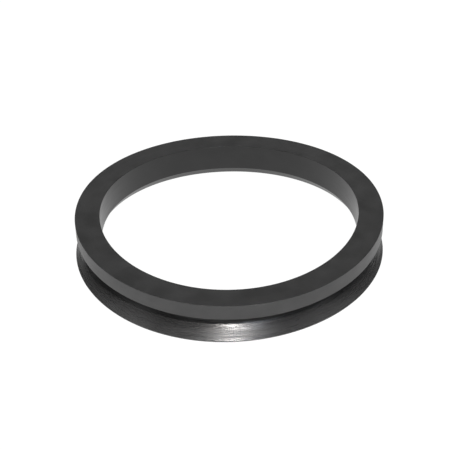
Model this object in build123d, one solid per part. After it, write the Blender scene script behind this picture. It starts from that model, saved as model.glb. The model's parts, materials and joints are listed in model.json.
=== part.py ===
from build123d import *
import os
from math import radians, tan

# Moulded rubber v-ring: a seal that is stretched over a shaft, turns with it, and runs with its
# lip against a flat face. One solid of revolution about +Z, in millimetres. It stands on the
# edge of its lip with its flat back up, and z = 0 is the surface that the lip touches.

NODE = "v_ring"

# The body: a band that grips the shaft
BORE_DIAMETER = 63.0        # free bore, before it is stretched over a shaft of 68 to 73
SECTION_HEIGHT = 6.0        # radial height of the band, from the bore to the crown
BORE_LENGTH = 6.8           # straight wall of the bore, measured along the axis
CROWN_LENGTH = 3.7          # straight outer wall above the groove

# The groove, a V that opens outwards and leaves a hinge over the bore. Its root is given
# where its two flanks would meet, before it is rounded.
HINGE_HEIGHT = 1.6          # radially, from the bore to the root
ROOT_DEPTH = 4.4            # axially, from the back face to the root
ROOT_RADIUS = 0.35

# The lip, a flared cone that runs against a flat counterface
FREE_WIDTH = 10.5           # from the back face to the edge of the lip, unloaded
LIP_OVERHANG = 0.55         # the lip reaches this far past the crown
LIP_FLARE = 0.25            # bow of the lip's back from a straight cone
LIP_EDGE = 0.35             # thickness of the lip at its edge, along the axis
LIP_LAND = 0.3              # narrow flat that touches the counterface
LIP_EDGE_SLOPE = 25.0       # degrees that the lip's end face leans out from the axis

# The heel, where the bore ends and the lip's running side begins
HEEL_TAPER = 34.0           # degrees between the heel and the bore
HEEL_DEPTH = 1.8            # axial length of the heel
HEEL_RADIUS = 1.5

# The other edges are sharp: the mould parts there, and the flash is trimmed off
BACK_CORNER_RADIUS = 0.2

bore_r = BORE_DIAMETER / 2
crown_r = bore_r + SECTION_HEIGHT
lip_r = crown_r + LIP_OVERHANG
land_r = lip_r - LIP_EDGE * tan(radians(LIP_EDGE_SLOPE))

back_z = FREE_WIDTH
bore_end_z = back_z - BORE_LENGTH

# Corners of the section as (radius, height), anticlockwise from the top of the bore
back_inner = (bore_r, back_z)
heel_start = (bore_r, bore_end_z)
heel_end = (bore_r + HEEL_DEPTH * tan(radians(HEEL_TAPER)), bore_end_z - HEEL_DEPTH)
land_inner = (land_r - LIP_LAND, 0)
land_outer = (land_r, 0)
lip_top = (lip_r, LIP_EDGE)
groove_root = (bore_r + HINGE_HEIGHT, back_z - ROOT_DEPTH)
crown_lower = (crown_r, back_z - CROWN_LENGTH)
back_outer = (crown_r, back_z)


def rounded(section, corners, radius):
    """Round the named corners of a section with one radius."""
    chosen = [section.vertices().sort_by_distance(corner)[0] for corner in corners]
    return fillet(chosen, radius)


def make_section():
    """Draw the half section: body, groove, lip and heel, with its moulded corners rounded."""
    with BuildSketch(Plane.XZ) as section:
        with BuildLine():
            Polyline(back_inner, heel_start, heel_end, land_inner, land_outer, lip_top)
            SagittaArc(lip_top, groove_root, LIP_FLARE)
            Polyline(groove_root, crown_lower, back_outer, back_inner)
        make_face()
        rounded(section, [back_inner, back_outer], BACK_CORNER_RADIUS)
        rounded(section, [groove_root], ROOT_RADIUS)
        rounded(section, [heel_end], HEEL_RADIUS)
    return section.sketch


def make_ring():
    """Revolve the section once round the shaft axis."""
    return revolve(make_section(), axis=Axis.Z, revolution_arc=360)


os.makedirs("parts", exist_ok=True)
ring = make_ring()
ring.label = NODE
export_step(ring, f"parts/{NODE}.step")
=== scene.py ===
import json
from math import radians, tan

import bpy
import numpy as np
from mathutils import Matrix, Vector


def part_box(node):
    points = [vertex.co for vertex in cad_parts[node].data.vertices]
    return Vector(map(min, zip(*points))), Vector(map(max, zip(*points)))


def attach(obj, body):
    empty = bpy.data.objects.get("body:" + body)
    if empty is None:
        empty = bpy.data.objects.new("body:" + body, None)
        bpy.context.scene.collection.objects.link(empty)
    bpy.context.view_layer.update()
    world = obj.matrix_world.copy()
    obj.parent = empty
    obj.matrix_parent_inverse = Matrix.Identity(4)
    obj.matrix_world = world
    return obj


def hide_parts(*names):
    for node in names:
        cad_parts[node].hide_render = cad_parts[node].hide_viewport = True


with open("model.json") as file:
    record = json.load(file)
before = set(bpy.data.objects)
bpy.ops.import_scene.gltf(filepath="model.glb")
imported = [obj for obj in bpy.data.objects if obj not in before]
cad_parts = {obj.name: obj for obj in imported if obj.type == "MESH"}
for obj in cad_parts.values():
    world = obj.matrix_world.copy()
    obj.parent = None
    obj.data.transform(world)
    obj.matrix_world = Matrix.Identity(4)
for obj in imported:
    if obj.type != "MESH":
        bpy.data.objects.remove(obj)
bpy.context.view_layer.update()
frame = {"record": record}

# The v-ring: one piece of black nitrile rubber, pressed and cured in a split steel mould. A thick
# band grips the shaft, and a thin flared lip stands away from it across a V groove. It lies on
# the edge of its lip with its flat back up, and the lip gives a little under the band.

MM = 0.001
bore = next(m for m in frame["record"]["mounts"] if m["name"] == "bore")
bore_radius = bore["dims"]["r_mm"]
lip_radius, _, back_height = (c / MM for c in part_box("v_ring")[1])

section_height = 6.0
bore_length = 6.8
crown_length = 3.7
hinge_height = 1.6
root_depth = 4.4
lip_edge = 0.35
lip_edge_slope = 25.0
lip_land = 0.3
lip_flare = 0.25
heel_taper = 34.0
heel_depth = 2.05

crown_radius = bore_radius + section_height
root_radius = bore_radius + hinge_height
root_height = back_height - root_depth
heel_start = back_height - bore_length
heel_radius = bore_radius + heel_depth * tan(radians(heel_taper))
land_outer = lip_radius - lip_edge * tan(radians(lip_edge_slope))
land_inner = land_outer - lip_land

# Corners of the section, each with its radius and height, how far it is rounded, and the side
# that follows it: how far that is bowed into the rubber, and which finish it has. Where the
# mould parts and the flash is trimmed, the edges are nearly sharp.
MOULDED, GROUND_AND_PAINTED_LIGHT, TURNED, SMOOTH_AND_PAINTED_SHADE = range(4)
section = np.array([
    # Painted shade: the smooth finish of the bore and heel is coloured the deepest black for the
    # shade inside the ring.
    (bore_radius, back_height, 0.05, 0, SMOOTH_AND_PAINTED_SHADE),                    # then the bore
    (bore_radius, heel_start, 0.12, 0, SMOOTH_AND_PAINTED_SHADE),                     # then the heel
    (heel_radius, heel_start - heel_depth, 1.5, 0, MOULDED),        # then the underside of the lip
    (land_inner, 0, 0.2, 0, MOULDED),                               # then the land that seals
    (land_outer, 0, 0.06, 0, GROUND_AND_PAINTED_LIGHT),                               # then the trimmed end of the lip
    (lip_radius, lip_edge, 0.04, lip_flare, TURNED),                # then the back of the lip
    (root_radius, root_height, 0.35, 0, MOULDED),                   # then the band over the groove
    # Painted light: the ground finish is coloured greyer for the light the table round the ring
    # throws on the crown.
    (crown_radius, back_height - crown_length, 0.1, 0, GROUND_AND_PAINTED_LIGHT),     # then the crown
    (crown_radius, back_height, 0.05, 0, MOULDED),                  # then the back face
])
arc_steps = 7
side_steps = 11


def rounded_outline(section):
    """Points of a closed outline with rounded corners, and the finish of each.

    An arc starts short of its corner by the rounding times the tangent of half the turn, and its
    points turn evenly about a centre one rounding to the inside. A side's points run from one
    arc to the next at t = (1 - cos of an even step) / 2, moved inwards by 4 bow t (1 - t).
    """
    corners, roundings, bows = section[:, :2], section[:, 2], section[:, 3]
    into = corners - np.roll(corners, 1, axis=0)
    into /= np.linalg.norm(into, axis=1, keepdims=True)
    out = np.roll(into, -1, axis=0)
    left = np.stack([-into[:, 1], into[:, 0]], axis=1)
    turn = np.arctan2((left * out).sum(axis=1), (into * out).sum(axis=1))
    inside = left * np.sign(turn)[:, None]
    start = corners - into * (roundings * np.tan(np.abs(turn) / 2))[:, None]
    angle = (np.abs(turn)[:, None] * np.linspace(0, 1, arc_steps))[:, :, None]
    swing = into[:, None] * np.sin(angle) - inside[:, None] * np.cos(angle)
    arcs = (start + inside * roundings[:, None])[:, None] + roundings[:, None, None] * swing

    begin, end = arcs[:, -1], np.roll(arcs[:, 0], -1, axis=0)
    even = np.linspace(0, 1, side_steps + 2)[1:-1]
    t = ((1 - np.cos(np.pi * even)) / 2)[None, :, None]
    inwards = np.stack([-out[:, 1], out[:, 0]], axis=1)[:, None]
    straight = begin[:, None] + (end - begin)[:, None] * t
    sides = straight + inwards * bows[:, None, None] * 4 * t * (1 - t)
    points = np.concatenate([arcs, sides], axis=1)
    finish = np.repeat(section[:, 4].astype(np.int32), points.shape[1])
    return points.reshape(-1, 2), finish


# How the ring lies, in millimetres: the band is bent out of plane, high at the left and right and
# low between them. It has settled on its soft lip, and slid over it a little to the right. The
# free edge of the lip waves in and out, most at the front.
saddle = 0.62
settling = 0.33
slide = 0.15
lip_wave = 0.25
lip_wave_turn = radians(15)


def as_it_lies(radius, height, angle):
    """Place of each point of the ring as it lies.

    The band rises by the saddle times the cosine of twice the angle, less the settling, and
    slides. Out along the lip that falls to nothing, and the wave grows to its full size: the
    cosine of three times the angle from its turn, by the square of half of one less the sine of
    the angle.
    """
    way_out = np.clip((radius - root_radius) / (land_inner - root_radius), 0, 1)
    along_lip = way_out * (height < root_height)
    with_band = 1 - along_lip
    strength = lip_wave * ((1 - np.sin(angle)) / 2) ** 2
    radius = radius + strength * np.cos(3 * (angle - lip_wave_turn)) * along_lip
    x = radius * np.cos(angle) + slide * with_band
    y = radius * np.sin(angle)
    z = height + (saddle * np.cos(2 * angle) - settling) * with_band
    return np.stack([x, y, z], axis=2)


around_steps = 480


def turned_mesh(name, outline, finish):
    """Turn an outline about Z into a closed mesh of quads, with a UV map in millimetres.

    U is the way round at the crown, and V the way along the outline from its first point.
    """
    count = len(outline)
    angle = np.linspace(0, 2 * np.pi, around_steps, endpoint=False)[:, None]
    radius, height = outline[None, :, 0], outline[None, :, 1]
    place = as_it_lies(radius, height, angle)

    i, j = np.meshgrid(np.arange(around_steps), np.arange(count), indexing="ij")
    step_i = np.stack([i, i + 1, i + 1, i], axis=2).reshape(-1, 4)
    step_j = np.stack([j, j, j + 1, j + 1], axis=2).reshape(-1, 4)
    quads = (step_i % around_steps) * count + step_j % count

    run = np.linalg.norm(np.roll(outline, -1, axis=0) - outline, axis=1)
    across = np.concatenate([[0], np.cumsum(run)])
    around = np.arange(around_steps + 1) * 2 * np.pi * crown_radius / around_steps

    mesh = bpy.data.meshes.new(name)
    mesh.from_pydata(place.reshape(-1, 3) * MM, [], quads)
    uv = mesh.uv_layers.new(name="around_and_across_mm").uv
    uv.foreach_set("vector", np.stack([around[step_i], across[step_j]], axis=2).ravel())
    mesh.polygons.foreach_set("material_index", finish[quads[:, 0] % count])
    mesh.shade_smooth()
    return mesh


ring = bpy.data.objects.new("v_ring_rubber", turned_mesh("v_ring_rubber", *rounded_outline(section)))
bpy.context.collection.objects.link(ring)


def linear(code):
    """Linear colour of an sRGB hex code: a twelfth of small values, a 2.4 power of the rest."""
    srgb = np.array([int(code[k:k + 2], 16) for k in (1, 3, 5)]) / 255
    rgb = np.where(srgb <= 0.04045, srgb / 12.92, ((srgb + 0.055) / 1.055) ** 2.4)
    return (*rgb, 1.0)


def add_node(tree, kind, sockets=None, **settings):
    """Add a node. A socket, by name or number, gets a value or the output that feeds it."""
    node = tree.nodes.new(kind)
    for name, value in settings.items():
        setattr(node, name, value)
    for name, value in (sockets or {}).items():
        if isinstance(value, bpy.types.NodeSocket):
            tree.links.new(value, node.inputs[name])
        else:
            node.inputs[name].default_value = value
    return node


def new_material(name):
    """An empty material and its node tree."""
    material = bpy.data.materials.new(name)
    material.use_nodes = True
    material.node_tree.nodes.clear()
    return material, material.node_tree


# Rubber filled with carbon black takes in nearly all light, and what it sends back is gloss. In
# time a thin grey film of wax comes out of it in soft patches of a few millimetres. The lines
# that the lathe left in the mould run round it.
rubber_ior = 1.5
film_patch_mm = 5.0
gloss_spread = 0.06


def moulded_rubber(name, bare, filmed, dullest, line_length_mm, line_width_mm, line_height_mm):
    """Black rubber, bare or under its film, with the fine lines of a turned mould round it.

    The lines are noise read at (x, y) over the length of a line and at the distance across the
    section over its width, so that it is drawn out round the ring and meets itself.
    """
    material, tree = new_material(name)
    place = add_node(tree, "ShaderNodeTexCoord").outputs["Object"]
    spot = add_node(tree, "ShaderNodeSeparateXYZ", {"Vector": place})
    run = add_node(tree, "ShaderNodeUVMap", uv_map="around_and_across_mm")
    across = add_node(tree, "ShaderNodeSeparateXYZ", {"Vector": run.outputs["UV"]})
    joined = add_node(tree, "ShaderNodeCombineXYZ", {
        "X": spot.outputs["X"], "Y": spot.outputs["Y"], "Z": across.outputs["Y"]})
    per_line = (1 / (line_length_mm * MM), 1 / (line_length_mm * MM), 1 / line_width_mm)
    drawn_out = add_node(tree, "ShaderNodeVectorMath", {0: joined.outputs["Vector"], 1: per_line},
                         operation="MULTIPLY")
    lines = add_node(tree, "ShaderNodeTexNoise", {
        "Vector": drawn_out.outputs["Vector"], "Scale": 1, "Detail": 1.5, "Roughness": 0.5})
    bump = add_node(tree, "ShaderNodeBump", {
        "Height": lines.outputs["Fac"], "Distance": line_height_mm * MM})
    dullness = add_node(tree, "ShaderNodeMapRange", {
        "Value": lines.outputs["Fac"], "From Min": 0.3, "From Max": 0.7,
        "To Min": dullest - gloss_spread, "To Max": dullest})

    patches = add_node(tree, "ShaderNodeTexNoise", {
        "Vector": place, "Scale": 1 / (film_patch_mm * MM), "Detail": 3})
    film = add_node(tree, "ShaderNodeMapRange", {
        "Value": patches.outputs["Fac"], "From Min": 0.35, "From Max": 0.65})
    colour = add_node(tree, "ShaderNodeMix", {
        0: film.outputs["Result"], 6: linear(bare), 7: linear(filmed)}, data_type="RGBA")
    rubber = add_node(tree, "ShaderNodeBsdfPrincipled", {
        "Base Color": colour.outputs[2], "IOR": rubber_ior, "Roughness": dullness.outputs["Result"],
        "Normal": bump.outputs["Normal"]})
    add_node(tree, "ShaderNodeOutputMaterial", {"Surface": rubber.outputs["BSDF"]})
    return material


# The four finishes in the order of their numbers above, each with its colour bare and filmed, the
# roughness of its dullest spots, and the length, width and height of its lines in millimetres.
for rubber in (
    # Against plain steel, as on the flat back: an even satin black.
    moulded_rubber("moulded_nitrile_rubber", "#1c1c1c", "#242424", 0.46, 9.0, 0.8, 0.004),
    # Ground where the mould parted, as on the crown: more matt; the greyer colour is painted light.
    moulded_rubber("ground_nitrile_rubber", "#313131", "#393939", 0.48, 5.0, 0.3, 0.006),
    # Against a coarsely turned cone, as on the lip's back: the gloss breaks into streaks.
    moulded_rubber("turned_mould_nitrile_rubber", "#2b2b2b", "#303030", 0.31, 7.0, 0.7, 0.06),
    # On the polished core, as in the bore and on the heel, with a sheen: the deepest black is
    # painted shade.
    moulded_rubber("smooth_nitrile_rubber", "#0c0c0c", "#131313", 0.36, 9.0, 0.6, 0.006),
):
    ring.data.materials.append(rubber)

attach(ring, "root")
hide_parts("v_ring")

# The floor: a sheet of opal acrylic lit evenly from below, as on a table for product pictures.
# It is pure white to the eye, takes no shadow, and lights the underside of the ring.

floor_side = 6.0
floor_corners = np.array([(-1, -1, 0), (1, -1, 0), (1, 1, 0), (-1, 1, 0)]) * floor_side / 2
floor_mesh = bpy.data.meshes.new("floor")
floor_mesh.from_pydata(floor_corners, [], [(0, 1, 2, 3)])
floor = bpy.data.objects.new("floor", floor_mesh)
bpy.context.collection.objects.link(floor)
opal_acrylic, acrylic_tree = new_material("opal_acrylic_lit_from_below")
acrylic = add_node(acrylic_tree, "ShaderNodeBsdfPrincipled", {
    "Base Color": linear("#202020"), "Roughness": 0.9,
    "Emission Color": linear("#ffffff"), "Emission Strength": 1.0})
add_node(acrylic_tree, "ShaderNodeOutputMaterial", {"Surface": acrylic.outputs["BSDF"]})
floor.data.materials.append(opal_acrylic)

# The light: softboxes and white walls round the table, which stay out of the picture. Two small
# lamps in front, over the camera, make the bright patch on the lip, and a cooler window fades it
# out to the right. Most of the light from overhead is polarised, so the rubber doesn't mirror it.

middle = Matrix.Translation((0, 0, back_height * MM))


def softbox(name, elevation, azimuth, distance, width, height, power, colour):
    """A rectangular light that faces the ring, lifted from level and turned from the front."""
    light = bpy.data.lights.new(name, "AREA")
    light.shape = "RECTANGLE"
    light.size, light.size_y = width, height
    light.energy = power
    light.color = linear(colour)[:3]
    lamp = bpy.data.objects.new(name, light)
    lamp.visible_camera = False
    bpy.context.collection.objects.link(lamp)
    round_ring = Matrix.Rotation(radians(azimuth), 4, "Z")
    up = Matrix.Rotation(radians(90 - elevation), 4, "X")
    lamp.matrix_world = middle @ round_ring @ up @ Matrix.Translation((0, 0, distance))
    return lamp


# Each with its elevation and azimuth in degrees, its distance, width and height in metres, and
# its watts.
softbox("front_lamp", 49.5, 2.3, 0.4, 0.03, 0.03, 0.93, "#fffbf8")
softbox("upper_lamp", 63, 4, 0.4, 0.12, 0.05, 0.34, "#ffffff")
softbox("window", 46, 16, 0.5, 0.08, 0.05, 0.25, "#e6efff")
softbox("overhead_softbox", 90, 0, 2.0, 1.2, 1.2, 17, "#ffffff")
polarised = softbox("polarised_overhead_softbox", 90, 0, 2.0, 1.2, 1.2, 42, "#ffffff")
polarised.visible_glossy = False
softbox("front_wall", 36, 0, 2.0, 2.2, 0.7, 5.4, "#ffffff")
softbox("left_wall", 40, -100, 2.0, 2.2, 0.7, 3.2, "#ffffff")
softbox("right_wall", 40, 100, 2.0, 2.2, 0.7, 3.1, "#ffffff")
softbox("back_wall", 15, 180, 2.0, 2.4, 0.7, 2.7, "#ffffff")

# A pale backdrop of white paper beyond the table. It adds no light of its own, and the rubber
# doesn't mirror it, so the ring is lit by the lamps and the table alone.
backdrop = bpy.data.worlds.new("pale_backdrop")
bpy.context.scene.world = backdrop
backdrop.use_nodes = True
backdrop.node_tree.nodes.clear()
backdrop.cycles_visibility.diffuse = False
backdrop.cycles_visibility.glossy = False
pale = add_node(backdrop.node_tree, "ShaderNodeBackground", {"Color": linear("#ffffff")})
add_node(backdrop.node_tree, "ShaderNodeOutputWorld", {"Surface": pale.outputs["Background"]})

# The camera: a short telephoto lens, a good third of a right angle above the table. The pan, tilt
# and roll put the ring where the photograph has it. Angles are in degrees and lengths in
# millimetres.

camera_elevation = 33.34
camera_distance = 263.8
camera_pan = 0.194
camera_tilt = -0.855
camera_roll = 1.252
sensor_width = 36.0
lens = 86.28

camera_data = bpy.data.cameras.new("camera")
camera_data.sensor_width = sensor_width
camera_data.lens = lens
camera_data.clip_start = 0.01
camera = bpy.data.objects.new("camera", camera_data)
bpy.context.collection.objects.link(camera)
band_middle = Matrix.Translation((0, 0, (back_height - settling) * MM))
lifted = Matrix.Rotation(radians(90 - camera_elevation), 4, "X")
away = Matrix.Translation((0, 0, camera_distance * MM))
pan = Matrix.Rotation(radians(camera_pan), 4, "Y")
tilt = Matrix.Rotation(radians(camera_tilt), 4, "X")
roll = Matrix.Rotation(radians(-camera_roll), 4, "Z")
camera.matrix_world = band_middle @ lifted @ away @ pan @ tilt @ roll
bpy.context.scene.camera = camera
bpy.context.scene.view_settings.view_transform = "Standard"
